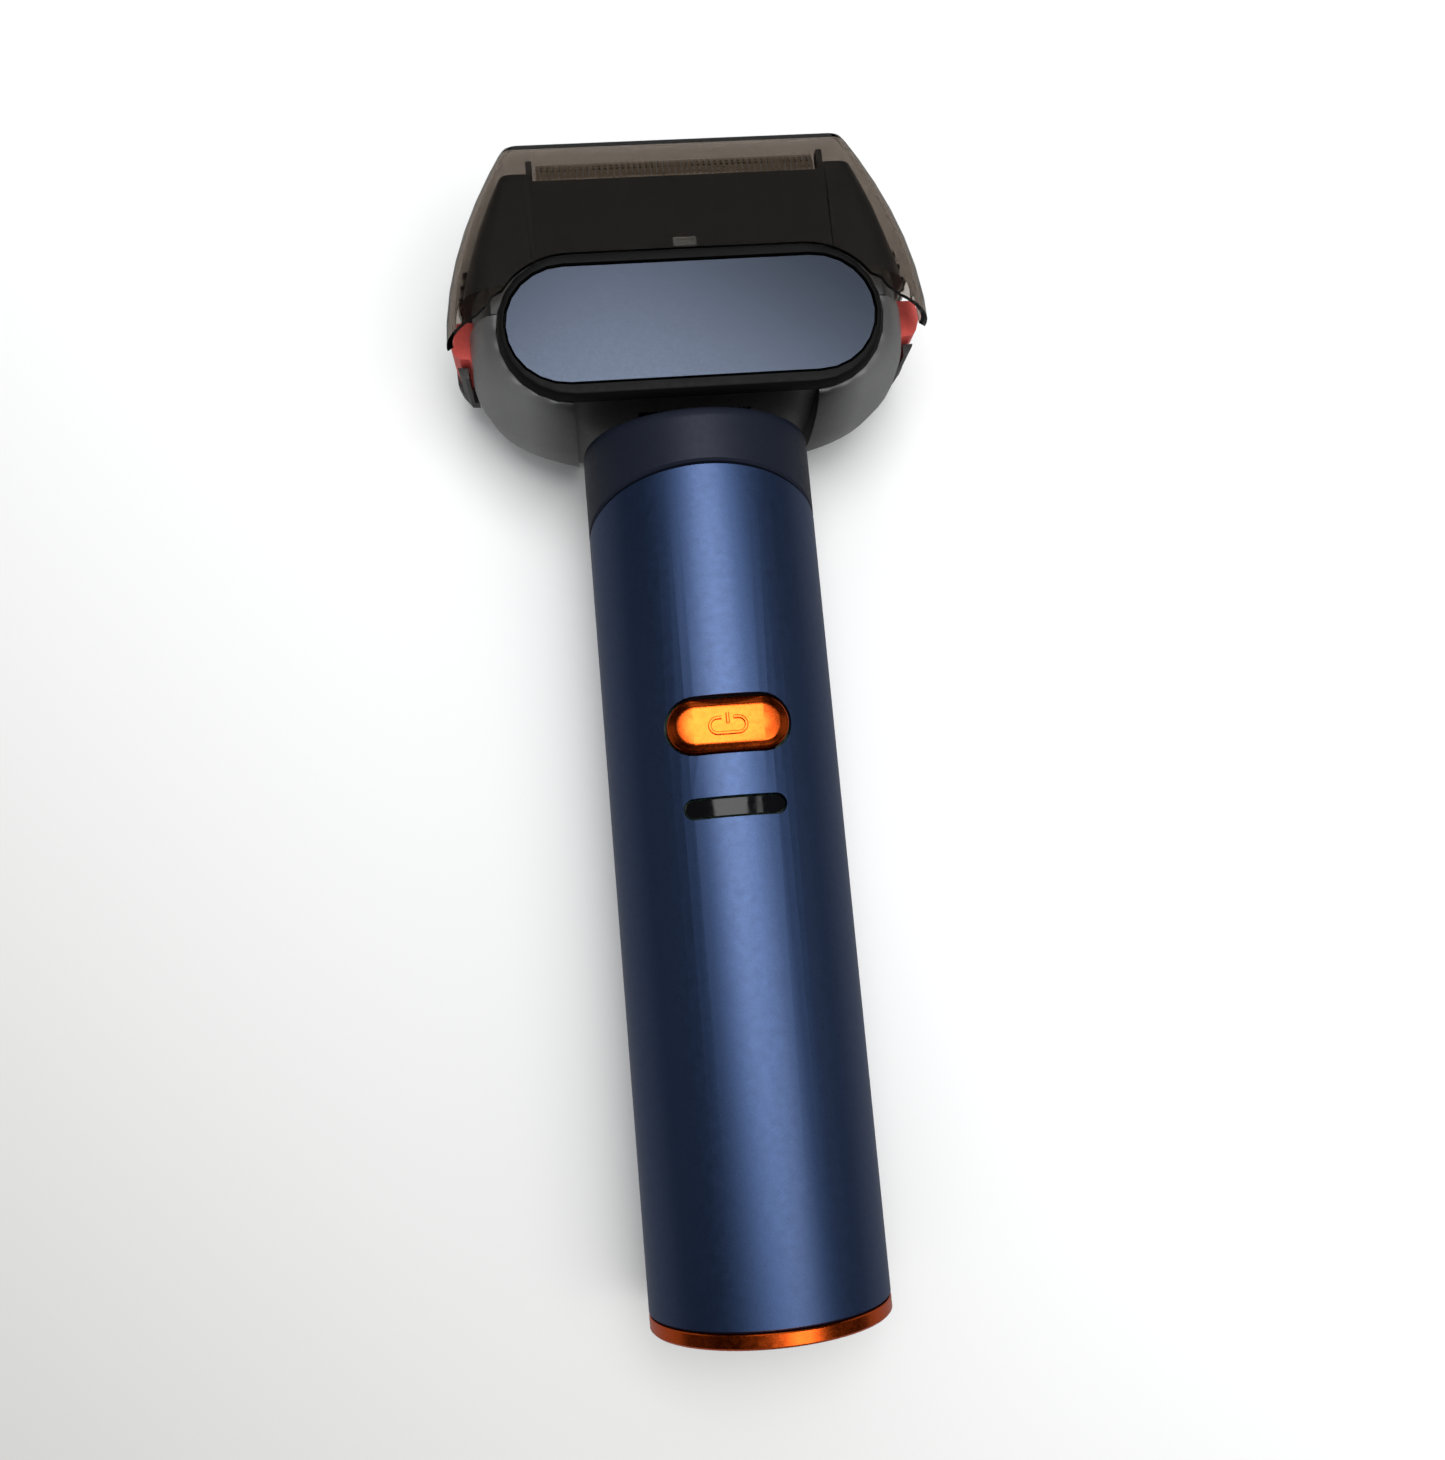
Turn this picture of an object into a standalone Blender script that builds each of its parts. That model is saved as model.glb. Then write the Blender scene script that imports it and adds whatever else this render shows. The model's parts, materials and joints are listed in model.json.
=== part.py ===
"""T-shaped electric foil shaver, lying on its back: +X right, +Y towards the head, +Z out of the front.

Every helper works in millimetres in the design frame: x across, y along the handle from its lower
end, z out of the front from the handle's axis. The frame empty carries that frame to the model's
own origin, which is under the middle of the shaver on the surface it lies on.
"""

import math

import bmesh
import bpy
from mathutils import Matrix, Vector

MM = 0.001
GAP = 0.3
ROUND = 72

# Handle
HANDLE_R = 15.0
TUBE_WALL = 1.5
RING_LENGTH = 1.75
SEAM_Y = 100.0
SEAM_SLANT = 0.345
COLLAR_TOP = 112.6
COLLAR_EDGE_R = 1.6
EDGE = 0.25
BUTTON_Y = 72.15
BUTTON_SIZE = (15.0, 6.6)
BUTTON_SLOT = (15.7, 7.3)
BUTTON_BASE_Z = 11.6
WINDOW_Y = 62.1
WINDOW_SIZE = (12.0, 2.0)
WINDOW_SLOT = (12.6, 2.6)
BATTERY_R = 9.2
BATTERY_Z = -3.7
BATTERY_SPAN = (22.0, 87.0)
BOARD_Z = (7.5, 8.5)

# Head
HEAD_Y = 126.0
BOWL_HALF_WIDTH = 29.0
BOWL_DROP = 15.0
BOWL_SQUARENESS = 2.7
BOWL_TOP = 127.0
BOWL_WALL = 1.6
BOWL_FRONT_Z = 12.0
BOWL_BACK_Z = -15.0
BOWL_BACK_SHRINK = 0.42
BEZEL_FLARE = 0.25
PLATE_Y = 124.4
BEZEL_SIZE = (49.2, 19.0)
BEZEL_Z = (12.3, 14.1)
PLATE_SIZE = (47.3, 15.7)
PLATE_Z = (13.25, 13.95)
NOTCH_HALF_WIDTH = 15.6
NOTCH_TOP = 115.2
PIVOT_Y = 120.0
PIN_R = 1.5
DECK_Y = (127.3, 130.9)
DRIVE_Z = 4.9
DRIVE_PIN_R = 1.5
RELEASE_X = 27.6
RELEASE_HALF_Z = 4.9
GUARD_Z = (-7.2, -5.3)
GUARD_FOOT_Z = 3.0

# Cassette and cap
LENGTH = 151.5
CASSETTE_Y = (131.3, 147.6)
PANEL_TOP = 146.1
FOIL_HALF_LENGTH = 18.4
FOIL_R = 3.7
FOIL_TOP = 150.3
FOIL_SKIN = 0.25
POST_X = 19.3
POST_TOP = 149.4
CAP_LOW = 124.0
CAP_WALL = 0.75
CAP_HALF_WIDTH = 31.4
CAP_DRAW_IN = 8.7
CAP_DRAW_POWER = 1.78
CAP_ARCH_HALF_Z = 7.6
CAP_ARCH_TOP = 131.9
CAP_ARCH_R = 2.2


# ---------------------------------------------------------------- materials

def material(name, colour, roughness, metallic=0.0, alpha=1.0):
    made = bpy.data.materials.new(name)
    made.use_nodes = True
    shader = made.node_tree.nodes["Principled BSDF"]
    shader.inputs["Base Color"].default_value = (*colour, 1.0)
    shader.inputs["Roughness"].default_value = roughness
    shader.inputs["Metallic"].default_value = metallic
    shader.inputs["Alpha"].default_value = alpha
    return made


def make_materials():
    return {
        "blue_metal": material("blue_metal", (0.05, 0.08, 0.22), 0.38, 0.85),
        "navy_satin": material("navy_satin", (0.02, 0.03, 0.06), 0.45, 0.4),
        "grey_satin": material("grey_satin", (0.035, 0.035, 0.038), 0.5),
        "black_plastic": material("black_plastic", (0.01, 0.01, 0.011), 0.35),
        "slate_metal": material("slate_metal", (0.12, 0.15, 0.22), 0.4, 0.7),
        "copper_gloss": material("copper_gloss", (0.8, 0.2, 0.03), 0.2, 0.9),
        "red_plastic": material("red_plastic", (0.5, 0.04, 0.025), 0.5),
        "smoky_clear": material("smoky_clear", (0.2, 0.17, 0.14), 0.1, 0.0, 0.4),
        "window_black": material("window_black", (0.005, 0.005, 0.006), 0.08),
        "steel": material("steel", (0.55, 0.55, 0.56), 0.3, 1.0),
        "copper_wire": material("copper_wire", (0.6, 0.25, 0.1), 0.35, 1.0),
        "rubber": material("rubber", (0.012, 0.012, 0.012), 0.8),
        "board_green": material("board_green", (0.02, 0.12, 0.05), 0.4),
        "cell_wrap": material("cell_wrap", (0.05, 0.2, 0.3), 0.45),
        "milky": material("milky", (0.7, 0.7, 0.7), 0.5),
    }


# ------------------------------------------------------------------ outlines

def arc(centre, radius, start, end, steps):
    """Points of a circular arc between two angles in degrees, both ends included."""
    points = []
    for i in range(steps + 1):
        angle = math.radians(start + (end - start) * i / steps)
        points.append((centre[0] + radius * math.cos(angle), centre[1] + radius * math.sin(angle)))
    return points


def stadium(size, centre=(0.0, 0.0), inset=0.0, steps=12):
    """Outline of a slot with round ends, long way along the first axis."""
    radius = size[1] / 2 - inset
    reach = (size[0] - size[1]) / 2
    right = arc((centre[0] + reach, centre[1]), radius, -90, 90, steps)
    left = arc((centre[0] - reach, centre[1]), radius, 90, 270, steps)
    return right + left


def rounded_rect(half, low, high, radius, steps=5):
    """Outline between -half and +half on the first axis and low and high on the second."""
    return (arc((half - radius, high - radius), radius, 0, 90, steps)
            + arc((radius - half, high - radius), radius, 90, 180, steps)
            + arc((radius - half, low + radius), radius, 180, 270, steps)
            + arc((half - radius, low + radius), radius, 270, 360, steps))


def resample(points, count):
    """The same open path with evenly spaced points."""
    lengths = [0.0]
    for a, b in zip(points, points[1:]):
        lengths.append(lengths[-1] + math.dist(a, b))
    out = []
    at = 0
    for i in range(count):
        want = lengths[-1] * i / (count - 1)
        while at < len(points) - 2 and lengths[at + 1] < want:
            at += 1
        part = (want - lengths[at]) / (lengths[at + 1] - lengths[at])
        a, b = points[at], points[at + 1]
        out.append((a[0] + (b[0] - a[0]) * part, a[1] + (b[1] - a[1]) * part))
    return out


def comb(half, low, high, depth, pitch):
    """Bar with upright teeth along its upper edge."""
    points = [(-half, low), (half, low)]
    count = int(2 * half / pitch)
    for i in range(count):
        x = half - i * pitch
        points += [(x, high), (x - pitch * 0.5, high), (x - pitch * 0.5, high - depth)]
        if i < count - 1:
            points.append((x - pitch, high - depth))
    points[-1] = (-half, high - depth)
    return points


# -------------------------------------------------------------------- solids

def loft(rings):
    """Closed body through rings of equal length, with a flat face over each end."""
    body = bmesh.new()
    loops = [[body.verts.new(point) for point in ring] for ring in rings]
    for lower, upper in zip(loops, loops[1:]):
        for i in range(len(lower)):
            j = (i + 1) % len(lower)
            body.faces.new((lower[i], lower[j], upper[j], upper[i]))
    body.faces.new(loops[0][::-1])
    body.faces.new(loops[-1])
    bmesh.ops.recalc_face_normals(body, faces=body.faces)
    return body


def place(points, axis, level):
    """Outline points set at a level on one axis: z takes (x, y), y takes (x, z), x takes (y, z)."""
    if axis == "z":
        return [(a, b, level) for a, b in points]
    if axis == "y":
        return [(a, level, b) for a, b in points]
    return [(level, a, b) for a, b in points]


def prism(points, axis, low, high):
    return loft([place(points, axis, low), place(points, axis, high)])


def box(low, high):
    points = [(low[0], low[1]), (high[0], low[1]), (high[0], high[1]), (low[0], high[1])]
    return prism(points, "z", low[2], high[2])


def turned(profile, segments=ROUND):
    """Ring turned about the handle's axis. Each profile point is (radius, y, slant)."""
    body = bmesh.new()
    loops = []
    for radius, y, slant in profile:
        loop = []
        for i in range(segments):
            angle = math.tau * i / segments
            z = radius * math.sin(angle)
            loop.append(body.verts.new((radius * math.cos(angle), y + slant * z, z)))
        loops.append(loop)
    for a, b in zip(loops, loops[1:] + loops[:1]):
        for i in range(segments):
            j = (i + 1) % segments
            body.faces.new((a[i], a[j], b[j], b[i]))
    bmesh.ops.recalc_face_normals(body, faces=body.faces)
    return body


def rod(radius, axis, centre, low, high, segments=24):
    points = arc(centre, radius, 0, 360 * (segments - 1) / segments, segments - 1)
    return prism(points, axis, low, high)


def coil(radius, wire, centre, span, turns, axis="x", around=10, ring=6):
    """Helical spring whose axis runs along x or y through the centre."""
    steps = int(turns * around)
    rings = []
    for i in range(steps + 1):
        angle = math.tau * i / around
        along = span[0] + wire + (span[1] - span[0] - 2 * wire) * i / steps
        loop = []
        for k in range(ring):
            turn = math.tau * k / ring
            out = radius + wire * math.cos(turn)
            a = centre[0] + out * math.cos(angle)
            b = centre[1] + out * math.sin(angle)
            c = along + wire * math.sin(turn)
            loop.append((c, a, b) if axis == "x" else (a, c, b))
        rings.append(loop)
    return loft(rings)


# ------------------------------------------------------------ scene building

class Model:
    """Keeps the frame, the joint empties and the materials while the parts are made."""

    def __init__(self):
        self.materials = make_materials()
        self.empties = {}
        self.origins = {}
        self.add_empty("shaver_frame", (0.0, 0.0, 0.0), None)
        self.empties["shaver_frame"].location = (0.0, -LENGTH / 2 * MM, HANDLE_R * MM)

    def add_empty(self, name, origin, parent="shaver_frame"):
        """Empty on a joint's axis, in design millimetres."""
        empty = bpy.data.objects.new(name, None)
        bpy.context.scene.collection.objects.link(empty)
        self.empties[name] = empty
        self.origins[name] = Vector(origin)
        if parent:
            empty.parent = self.empties[parent]
            empty.location = (self.origins[name] - self.origins[parent]) * MM
        return empty

    def add(self, name, body, finish, parent="shaver_frame", sharp=35.0):
        """Object from a millimetre mesh, with its origin at its parent empty."""
        bmesh.ops.translate(body, verts=body.verts, vec=-self.origins[parent])
        bmesh.ops.scale(body, verts=body.verts, vec=(MM, MM, MM))
        mesh = bpy.data.meshes.new(name)
        body.to_mesh(mesh)
        body.free()
        mesh.shade_smooth()
        mesh.set_sharp_from_angle(angle=math.radians(sharp))
        if finish:
            mesh.materials.append(self.materials[finish])
        made = bpy.data.objects.new(name, mesh)
        made.parent = self.empties[parent]
        bpy.context.scene.collection.objects.link(made)
        return made

    def combine(self, target, body, operation="DIFFERENCE"):
        """Boolean of a helper mesh on a part; the helper stays as a hidden wire."""
        parent = target.parent.name
        count = sum(1 for item in target.modifiers if item.type == "BOOLEAN")
        helper = self.add(f"{target.name}_tool_{count}", body, None, parent)
        helper.hide_render = True
        helper.display_type = "WIRE"
        step = target.modifiers.new(f"step_{count}", "BOOLEAN")
        step.operation = operation
        step.solver = "EXACT"
        step.object = helper
        return helper


# -------------------------------------------------------------------- handle

def tube_and_collar(model):
    tube_low = RING_LENGTH + GAP / 2
    tube_top = SEAM_Y - GAP / 2
    inner = HANDLE_R - TUBE_WALL
    tube = model.add("handle_tube", turned([
        (HANDLE_R - EDGE, tube_low, 0.0),
        (HANDLE_R, tube_low + EDGE, 0.0),
        (HANDLE_R, tube_top - EDGE, SEAM_SLANT),
        (HANDLE_R - EDGE, tube_top, SEAM_SLANT),
        (inner, tube_top, SEAM_SLANT),
        (inner, tube_low, 0.0),
    ]), "blue_metal")
    for y, slot in ((BUTTON_Y, BUTTON_SLOT), (WINDOW_Y, WINDOW_SLOT)):
        model.combine(tube, prism(stadium(slot, (0.0, y)), "z", 5.0, 20.0))

    collar_low = SEAM_Y + GAP / 2
    rim = []
    for r, y in arc((HANDLE_R - COLLAR_EDGE_R, COLLAR_TOP - COLLAR_EDGE_R), COLLAR_EDGE_R, 0, 90, 6):
        rim.append((r, y, 0.0))
    collar = model.add("neck_collar", turned(
        [(HANDLE_R - EDGE, collar_low, SEAM_SLANT), (HANDLE_R, collar_low + EDGE, SEAM_SLANT)]
        + rim
        + [(2.0, COLLAR_TOP, 0.0), (2.0, COLLAR_TOP - TUBE_WALL, 0.0),
           (inner, COLLAR_TOP - TUBE_WALL, 0.0), (inner, collar_low, SEAM_SLANT)]), "navy_satin")
    model.combine(collar, box((-4.8, 105.0, -3.8), (4.8, 116.0, 3.8)))


def neck(model):
    """Post that rises from the collar and carries the head on its eye."""
    eye_r = 3.5
    outline = [(108.0, -eye_r)] + arc((PIVOT_Y, 0.0), eye_r, -90, 90, 12) + [(108.0, eye_r)]
    post = model.add("neck_post", prism(outline, "x", -4.5, 4.5), "black_plastic")
    flange_top = COLLAR_TOP - TUBE_WALL - GAP
    model.combine(post, rod(10.0, "y", (0.0, 0.0), flange_top - 1.5, flange_top), "UNION")
    model.combine(post, rod(PIN_R + 0.15, "x", (PIVOT_Y, 0.0), -8.0, 8.0))


def handle_base(model):
    """Metal end ring, the plug inside it and the charging socket."""
    ring_in = 12.6
    model.add("bottom_ring", turned([
        (HANDLE_R - EDGE, 0.0, 0.0), (HANDLE_R, EDGE, 0.0),
        (HANDLE_R, RING_LENGTH - EDGE / 2, 0.0), (HANDLE_R - EDGE / 2, RING_LENGTH, 0.0),
        (ring_in, RING_LENGTH, 0.0), (ring_in, 0.0, 0.0)]), "copper_gloss")
    plug = model.add("bottom_plug", rod(ring_in - GAP, "y", (0.0, 0.0), 0.5, 4.0, 48), "black_plastic")
    model.combine(plug, rod(HANDLE_R - TUBE_WALL - GAP, "y", (0.0, 0.0), 2.6, 9.0, 48), "UNION")
    model.combine(plug, prism(stadium((9.8, 4.1), steps=8), "y", -1.0, 11.0))
    shell = model.add("socket_shell", prism(stadium((9.0, 3.3), steps=8), "y", 0.9, 9.0), "steel")
    model.combine(shell, prism(stadium((8.4, 2.7), steps=8), "y", -1.0, 8.4))
    model.add("socket_tongue", box((-3.3, 1.6, -0.35), (3.3, 8.1, 0.35)), "black_plastic")


def handle_inside(model):
    chassis = model.add("inner_chassis", box((-9.6, 16.0, 6.0), (9.6, 93.0, 7.2)), "black_plastic")
    sleeve = turned([(13.2, 90.5, 0.0), (13.2, 105.5, 0.0), (11.4, 105.5, 0.0), (11.4, 90.5, 0.0)], 48)
    model.combine(chassis, sleeve, "UNION")
    model.add("circuit_board", box((-9.0, 30.0, BOARD_Z[0]), (9.0, 89.5, BOARD_Z[1])), "board_green")
    model.add("battery", rod(BATTERY_R, "y", (0.0, BATTERY_Z), *BATTERY_SPAN, 48), "cell_wrap")
    low, high = BATTERY_SPAN
    for name, y in (("battery_tab_lower", low - 0.7), ("battery_tab_upper", high + GAP)):
        model.add(name, box((-3.0, y, BATTERY_Z - 3.0), (3.0, y + 0.4, 5.7)), "steel")
    switch = model.add("tact_switch", box((-3.0, BUTTON_Y - 3.0, BOARD_Z[1] + GAP),
                                          (3.0, BUTTON_Y + 3.0, 10.3)), "black_plastic")
    model.combine(switch, rod(1.6, "z", (0.0, BUTTON_Y), 9.5, 11.0, 16), "UNION")
    seal = model.add("button_seal", prism(stadium((14.0, 8.6), (0.0, BUTTON_Y), steps=8),
                                          "z", 10.6, 11.1), "rubber")
    model.combine(seal, rod(2.2, "z", (0.0, BUTTON_Y), 9.0, 12.0, 16))
    model.add("light_guide", box((-5.0, WINDOW_Y - 1.0, BOARD_Z[1] + GAP),
                                 (5.0, WINDOW_Y + 1.0, 11.5)), "milky")


def controls(model):
    """Power button, which presses into the handle, and the indicator window below it."""
    model.add_empty("power_button_axis", (0.0, BUTTON_Y, HANDLE_R))
    radius = HANDLE_R - 0.2
    button = model.add("power_button", prism(stadium(BUTTON_SIZE, (0.0, BUTTON_Y)), "z",
                                             BUTTON_BASE_Z, 20.0), "copper_gloss", "power_button_axis")
    model.combine(button, rod(radius, "y", (0.0, 0.0), 50.0, 90.0, 96), "INTERSECT")
    window = model.add("indicator_window", prism(stadium(WINDOW_SIZE, (0.0, WINDOW_Y), steps=8), "z",
                                                 11.8, 20.0), "window_black")
    model.combine(window, rod(HANDLE_R - 0.35, "y", (0.0, 0.0), 50.0, 90.0, 96), "INTERSECT")


# ---------------------------------------------------------------------- head

def lower_bowl(half_width, drop, steps=40):
    """Open path of the bowl, left to right: half a squarish ellipse with short upright sides."""
    power = 2.0 / BOWL_SQUARENESS
    points = [(-half_width, BOWL_TOP)]
    for i in range(steps + 1):
        angle = math.pi * i / steps
        across = math.copysign(abs(math.cos(angle)) ** power, math.cos(angle))
        points.append((-half_width * across, HEAD_Y - drop * abs(math.sin(angle)) ** power))
    points.append((half_width, BOWL_TOP))
    return points


def lower_stadium(size, steps=16):
    """Open path of the bezel's lower half, left to right, carried up to the bowl's top."""
    radius = size[1] / 2
    reach = size[0] / 2 - radius
    return ([(-size[0] / 2, BOWL_TOP)] + arc((-reach, PLATE_Y), radius, 180, 270, steps)
            + arc((reach, PLATE_Y), radius, 270, 360, steps) + [(size[0] / 2, BOWL_TOP)])


def dome(z, start, end):
    """Share of a quarter circle's fall between two depths, 0 at the start and 1 at the end."""
    part = min(max((z - start) / (end - start), 0.0), 1.0)
    return 1.0 - math.sqrt(1.0 - part ** 2)


def front_blend(z):
    """How far the bowl has turned from its full outline (0) to the bezel's (1)."""
    return dome(z, 1.0, BOWL_FRONT_Z)


def back_scale(z):
    """Size of the outline on the way to the flat back, as a share of the full one."""
    return 1.0 - BOWL_BACK_SHRINK * dome(z, -1.0, BOWL_BACK_Z)


def bowl_ring(z, wall=0.0, top=BOWL_TOP, count=49):
    """One closed outline of the head at a depth, drawn in by the wall for the inside."""
    bowl = resample(lower_bowl(BOWL_HALF_WIDTH - wall, BOWL_DROP - wall), count)
    grow = 2 * (BEZEL_FLARE - wall)
    front = resample(lower_stadium((BEZEL_SIZE[0] + grow, BEZEL_SIZE[1] + grow)), count)
    blend = front_blend(z)
    scale = back_scale(z)
    ring = []
    for (bx, by), (fx, fy) in zip(bowl, front):
        x = (bx + (fx - bx) * blend) * scale
        y = by + (fy - by) * blend
        y = BOWL_TOP + (y - BOWL_TOP) * scale
        ring.append((x, y, z))
    ring[0] = (ring[0][0], top, z)
    ring[-1] = (ring[-1][0], top, z)
    return ring


def depth_levels(low, high):
    """Depths that crowd towards the rounded front and back."""
    turns = [math.sin(math.radians(angle)) for angle in (20, 37, 52, 65, 77, 90)]
    back = [-1.0 + (low + 1.0) * turn for turn in reversed(turns)]
    return back + [-1.0, 1.0] + [1.0 + (high - 1.0) * turn for turn in turns]


def head_housing(model):
    rings = [bowl_ring(z) for z in depth_levels(BOWL_BACK_Z, BOWL_FRONT_Z)]
    housing = model.add("head_housing", loft(rings), "grey_satin", "head_pivot")
    slot = RELEASE_HALF_Z + 0.6
    for side in (-1, 1):
        ends = sorted((side * 24.0, side * 36.0))
        model.combine(housing, box((ends[0], 122.4, -slot), (ends[1], 140.0, slot)))
    inner = [bowl_ring(z, BOWL_WALL, BOWL_TOP + 8.0)
             for z in depth_levels(BOWL_BACK_Z + BOWL_WALL, BOWL_FRONT_Z - BOWL_WALL)]
    hollow = model.combine(housing, loft(inner))
    lining = NOTCH_HALF_WIDTH + BOWL_WALL
    model.combine(hollow, box((-lining, 90.0, -30.0), (lining, NOTCH_TOP + BOWL_WALL, 30.0)))
    model.combine(housing, box((-NOTCH_HALF_WIDTH, 90.0, -30.0), (NOTCH_HALF_WIDTH, NOTCH_TOP, 30.0)))
    model.combine(housing, box((-7.4, 110.0, -6.2), (7.4, 120.0, 6.2)))


def bezel_and_plate(model):
    low, high = BEZEL_Z
    centre = (0.0, PLATE_Y)
    profile = [(-BEZEL_FLARE, low), (-BEZEL_FLARE, low + 0.3), (-0.1, high - 0.8), (0.1, high - 0.4),
               (0.3, high - 0.12), (0.6, high)]
    rings = [place(stadium(BEZEL_SIZE, centre, inset), "z", z) for inset, z in profile]
    bezel = model.add("front_bezel", loft(rings), "black_plastic", "head_pivot")
    pocket = (PLATE_SIZE[0] + 0.4, PLATE_SIZE[1] + 0.4)
    model.combine(bezel, prism(stadium(pocket, centre), "z", PLATE_Z[0] - GAP, high + 2.0))
    low, high = PLATE_Z
    model.add("front_plate", loft([
        place(stadium(PLATE_SIZE, centre), "z", low),
        place(stadium(PLATE_SIZE, centre), "z", high - 0.2),
        place(stadium(PLATE_SIZE, centre, 0.2), "z", high)]), "slate_metal", "head_pivot")


def head_section(inset, back, front):
    """Outline in x and z of the head just above the bowl, between two depths."""
    right = []
    for z in depth_levels(back, front):
        x = BOWL_HALF_WIDTH + (BEZEL_SIZE[0] / 2 - BOWL_HALF_WIDTH) * front_blend(z)
        right.append((x * back_scale(z) - inset, z))
    return right + [(-x, z) for x, z in reversed(right)]


def head_deck(model):
    """Black deck that closes the bowl and carries the cassette."""
    low, high = DECK_Y
    outline = head_section(0.45, -11.4, 11.6)
    deck = model.add("head_deck", prism(outline, "y", low, high), "black_plastic", "head_pivot")
    for side in (-1, 1):
        ends = sorted((side * 26.2, side * 34.0))
        model.combine(deck, box((ends[0], 120.0, -RELEASE_HALF_Z - 0.6),
                                (ends[1], 129.7, RELEASE_HALF_Z + 0.6)))
        seat = sorted((side * 22.4, side * 23.4))
        model.combine(deck, box((seat[0], 121.5, -3.6), (seat[1], low + 1.0, 3.6)), "UNION")
        model.combine(deck, box((-3.6, low - 2.0, side * DRIVE_Z - 2.2),
                                (3.6, high + 2.0, side * DRIVE_Z + 2.2)))


def pivot(model):
    """Bracket whose two ears hold the pin that the head rocks on, and the coil around the pin."""
    base = NOTCH_TOP + BOWL_WALL + GAP
    bracket = model.add("pivot_bracket", box((-13.5, base, -8.0), (13.5, base + 1.2, 8.0)),
                        "steel", "head_pivot")
    ear = [(base + 0.5, -3.4)] + arc((PIVOT_Y, 0.0), 3.4, -90, 90, 10) + [(base + 0.5, 3.4)]
    for side in (-1, 1):
        ends = sorted((side * 8.0, side * 10.5))
        model.combine(bracket, prism(ear, "x", *ends), "UNION")
    model.combine(bracket, box((-7.4, 110.0, -6.2), (7.4, 119.0, 6.2)))
    model.combine(bracket, rod(PIN_R + 0.15, "x", (PIVOT_Y, 0.0), -14.0, 14.0))
    model.add("pivot_pin", rod(PIN_R, "x", (PIVOT_Y, 0.0), -11.6, 11.6), "steel", "head_pivot")
    model.add("pivot_spring", coil(2.3, 0.3, (PIVOT_Y, 0.0), (5.0, 7.7), 3), "steel", "head_pivot")


def release_outline():
    """Side button seen from the front: flat inside, bulging outside."""
    return [(RELEASE_X, 129.3), (RELEASE_X, 123.6), (28.3, 123.5), (28.9, 124.3), (30.1, 124.4),
            (30.8, 125.1), (31.3, 126.6), (31.2, 128.0), (30.9, 129.3)]


def guard_outline():
    """Black flange behind the button: it hugs the bowl's side and ends in a point below the button."""
    inner = []
    for y in (122.3, 124.0, 126.0):
        reach = (1.0 - ((HEAD_Y - y) / BOWL_DROP) ** BOWL_SQUARENESS) ** (1 / BOWL_SQUARENESS)
        inner.append((BOWL_HALF_WIDTH * reach * back_scale(GUARD_Z[1]) + 0.4, y))
    return inner + [(29.4, 130.7), (30.9, 130.9), (31.2, 130.4), (31.4, 127.0), (31.3, 125.1),
                    (30.7, 123.8), (29.6, 122.4)]


def guard_foot_outline():
    """Step of the flange that closes the gap under the button."""
    return [(29.2, 122.3), (29.7, 122.5), (30.5, 123.6), (30.6, 124.0), (29.2, 123.9)]


def release_buttons(model):
    for name, side in (("left", -1), ("right", 1)):
        empty = f"release_{name}_axis"
        model.add_empty(empty, (side * 31.3, 126.2, 0.0), "head_pivot")
        outline = [(side * x, y) for x, y in release_outline()]
        half = RELEASE_HALF_Z
        model.add(f"release_button_{name}", prism(outline, "z", -half, half), "red_plastic", empty)
        spring = coil(1.6, 0.25, (125.2, 0.0), (23.7, RELEASE_X - GAP), 4)
        if side < 0:
            bmesh.ops.transform(spring, matrix=Matrix.Scale(-1, 4, (1, 0, 0)), verts=spring.verts)
            bmesh.ops.reverse_faces(spring, faces=spring.faces)
        model.add(f"release_spring_{name}", spring, "steel", "head_pivot")
        outline = [(side * x, y) for x, y in guard_outline()]
        guard = model.add(f"release_guard_{name}", prism(outline, "z", *GUARD_Z), "black_plastic",
                          "head_pivot")
        outline = [(side * x, y) for x, y in guard_foot_outline()]
        model.combine(guard, prism(outline, "z", GUARD_Z[0] + 0.5, GUARD_FOOT_Z), "UNION")


def drive(model):
    """Two coils on steel cores, and the two armatures that they swing left and right."""
    for name, side in (("left", -1), ("right", 1)):
        ends = sorted((side * 14.6, side * 22.0))
        base = NOTCH_TOP + BOWL_WALL + GAP
        core = model.add(f"coil_core_{name}", box((ends[0], base + 1.0, -8.0), (ends[1], 123.8, 8.0)),
                         "steel", "head_pivot")
        model.combine(core, box((ends[0] - 1.0, base + 2.2, -5.4), (ends[1] + 1.0, 122.3, -2.4)))
        model.combine(core, box((ends[0] - 1.0, base + 2.2, 2.4), (ends[1] + 1.0, 122.3, 5.4)))
        winding = box((ends[0] + 0.2, base + 2.5, -5.1), (ends[1] - 0.2, 122.0, -2.7))
        model.add(f"coil_rear_{name}", winding, "copper_wire", "head_pivot")
        winding = box((ends[0] + 0.2, base + 2.5, 2.7), (ends[1] - 0.2, 122.0, 5.1))
        model.add(f"coil_front_{name}", winding, "copper_wire", "head_pivot")
    for name, side in (("front", 1), ("rear", -1)):
        empty = f"drive_{name}_axis"
        model.add_empty(empty, (0.0, 125.5, side * DRIVE_Z), "head_pivot")
        model.add(f"armature_{name}", box((-20.0, 124.3, side * DRIVE_Z - 3.2),
                                          (20.0, 126.6, side * DRIVE_Z + 3.2)), "steel", empty)
        model.add(f"drive_pin_{name}", rod(DRIVE_PIN_R, "y", (0.0, side * DRIVE_Z), 126.9, 137.5, 16),
                  "steel", empty)


# ------------------------------------------------------------------ cassette

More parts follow.
